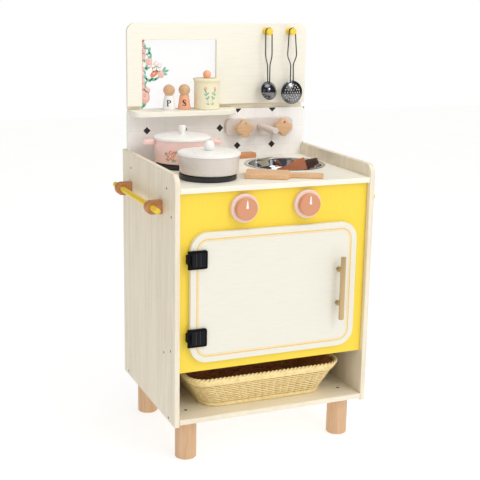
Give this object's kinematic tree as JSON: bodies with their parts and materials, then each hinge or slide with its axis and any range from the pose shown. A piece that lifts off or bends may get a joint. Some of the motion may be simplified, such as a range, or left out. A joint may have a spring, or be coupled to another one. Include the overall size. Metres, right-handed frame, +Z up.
{
  "type": "toy kitchen",
  "caption": "Wooden play kitchen with hob, sink, hinged oven door, lower basket compartment, tiled splashback, window and sill, with pots, utensils and jars.",
  "frame": {"origin": "middle of the footprint on the floor, the footprint being the whole object's box seen from above", "axes": "+Z up, -Y towards the user in front of the oven door, +X to the user's right"},
  "size_m": [0.556, 0.4138, 0.963],
  "materials": {
    "birch_panel": "satin",
    "beech": "satin",
    "beech_handles": "satin",
    "cream_paint": "satin",
    "yellow_paint": "satin",
    "tile_print": "satin",
    "blush_paint": "satin",
    "black_paint": "satin",
    "orange_paint": "satin",
    "pink_paint": "satin",
    "pink_pot_enamel": "satin",
    "grey_pot_enamel": "satin",
    "white_lid": "satin",
    "white_shaker": "satin",
    "orange_shaker": "satin",
    "cream_jar": "satin",
    "hinge_plastic": "matt",
    "catch_plastic": "matt",
    "pin_steel": "satin",
    "polished_steel": "polished",
    "gold_metal": "satin",
    "clear_pane": "polished",
    "wicker": "woven",
    "red_brown_wood": "satin",
    "bristle": "matt"
  },
  "bodies": {
    "cabinet": {"left_side_panel": "birch_panel", "right_side_panel": "birch_panel", "countertop": "cream_paint", "oven_floor": "birch_panel", "bottom_shelf": "birch_panel", "front_panel": "yellow_paint", "back_panel": "birch_panel", "front_left_foot": "beech", "rear_left_foot": "beech", "front_right_foot": "beech", "rear_right_foot": "beech", "splash_board": "tile_print", "window_board": "cream_paint", "left_joining_batten": "birch_panel", "right_joining_batten": "birch_panel", "window_pane": "clear_pane", "spice_sill": "cream_paint", "left_peg": "yellow_paint", "right_peg": "yellow_paint", "tap_body": "blush_paint", "tap_spout": "beech", "front_burner": "black_paint", "back_burner": "black_paint", "sink_bowl": "polished_steel", "left_knob_ring": "pink_paint", "right_knob_ring": "pink_paint", "upper_hinge_frame_leaf": "hinge_plastic", "upper_hinge_pin": "pin_steel", "lower_hinge_frame_leaf": "hinge_plastic", "lower_hinge_pin": "pin_steel", "door_catch": "catch_plastic", "left_rail_bar": "yellow_paint", "left_rail_front_bracket": "beech_handles", "left_rail_rear_bracket": "beech_handles", "right_rail_bar": "yellow_paint", "right_rail_front_bracket": "beech_handles", "right_rail_rear_bracket": "beech_handles"},
    "oven_door": {"oven_door": "cream_paint", "door_handle": "gold_metal", "upper_hinge_door_leaf": "hinge_plastic", "lower_hinge_door_leaf": "hinge_plastic"},
    "left_knob": {"left_knob_dial": "orange_paint"},
    "right_knob": {"right_knob_dial": "orange_paint"},
    "cold_tap": {"cold_tap_handle": "beech"},
    "hot_tap": {"hot_tap_handle": "beech"},
    "pink_pot": {"pink_pot": "pink_pot_enamel"},
    "pink_pot_lid": {"pink_pot_lid": "white_lid"},
    "saucepan": {"saucepan": "grey_pot_enamel", "saucepan_handle": "beech_handles"},
    "saucepan_lid": {"saucepan_lid": "white_lid"},
    "pepper_shaker": {"pepper_shaker": "white_shaker"},
    "salt_shaker": {"salt_shaker": "orange_shaker"},
    "jar": {"jar": "cream_jar"},
    "jar_lid": {"jar_lid": "cream_jar"},
    "ladle": {"ladle": "polished_steel"},
    "skimmer": {"skimmer": "polished_steel"},
    "wooden_spatula": {"wooden_spatula": "beech"},
    "brush": {"brush_handle": "red_brown_wood", "brush_bristles": "bristle"},
    "basket": {"basket": "wicker"}
  },
  "joints": [
    {"name": "oven_door_hinge", "type": "hinge", "parent": "cabinet", "child": "oven_door", "pos_m": [-0.2079, -0.1808, 0.3885], "axis": [0, 0, -1], "range_deg": [0, 110]},
    {"name": "left_knob_turn", "type": "hinge", "parent": "cabinet", "child": "left_knob", "pos_m": [-0.079, -0.1851, 0.5835], "axis": [0, 1, 0], "continuous": true},
    {"name": "right_knob_turn", "type": "hinge", "parent": "cabinet", "child": "right_knob", "pos_m": [0.073, -0.1851, 0.5835], "axis": [0, 1, 0], "continuous": true},
    {"name": "cold_tap_turn", "type": "hinge", "parent": "cabinet", "child": "cold_tap", "pos_m": [0.0539, 0.1449, 0.7107], "axis": [0, 1, 0], "continuous": true},
    {"name": "hot_tap_turn", "type": "hinge", "parent": "cabinet", "child": "hot_tap", "pos_m": [0.1589, 0.1449, 0.7107], "axis": [0, 1, 0], "continuous": true},
    {"name": "pink_pot_lift", "type": "slide", "parent": "cabinet", "child": "pink_pot", "axis": [0, 0, 1], "range_m": [0, 0.018]},
    {"name": "pink_pot_lid_lift", "type": "slide", "parent": "pink_pot", "child": "pink_pot_lid", "axis": [0, 0, 1], "range_m": [0, 0.017]},
    {"name": "saucepan_lift", "type": "slide", "parent": "cabinet", "child": "saucepan", "axis": [0, 0, 1], "range_m": [0, 0.12]},
    {"name": "saucepan_lid_lift", "type": "slide", "parent": "saucepan", "child": "saucepan_lid", "axis": [0, 0, 1], "range_m": [0, 0.06]},
    {"name": "pepper_shaker_lift", "type": "slide", "parent": "cabinet", "child": "pepper_shaker", "axis": [0, 0, 1], "range_m": [0, 0.08]},
    {"name": "salt_shaker_lift", "type": "slide", "parent": "cabinet", "child": "salt_shaker", "axis": [0, 0, 1], "range_m": [0, 0.08]},
    {"name": "jar_lift", "type": "slide", "parent": "cabinet", "child": "jar", "axis": [0, 0, 1], "range_m": [0, 0.05]},
    {"name": "jar_lid_lift", "type": "slide", "parent": "jar", "child": "jar_lid", "axis": [0, 0, 1], "range_m": [0, 0.03]},
    {"name": "ladle_swing", "type": "hinge", "parent": "cabinet", "child": "ladle", "pos_m": [0.1225, 0.1644, 0.944], "axis": [0, 1, 0], "range_deg": [-2, 30]},
    {"name": "skimmer_swing", "type": "hinge", "parent": "cabinet", "child": "skimmer", "pos_m": [0.186, 0.1644, 0.944], "axis": [0, -1, 0], "range_deg": [-2, 30]},
    {"name": "wooden_spatula_lift", "type": "slide", "parent": "cabinet", "child": "wooden_spatula", "axis": [0, 0, 1], "range_m": [0, 0.025]},
    {"name": "brush_lift", "type": "slide", "parent": "cabinet", "child": "brush", "axis": [0, 0, 1], "range_m": [0, 0.1]},
    {"name": "basket_pull", "type": "slide", "parent": "cabinet", "child": "basket", "axis": [0, -1, 0], "range_m": [0, 0.25]}
  ]
}
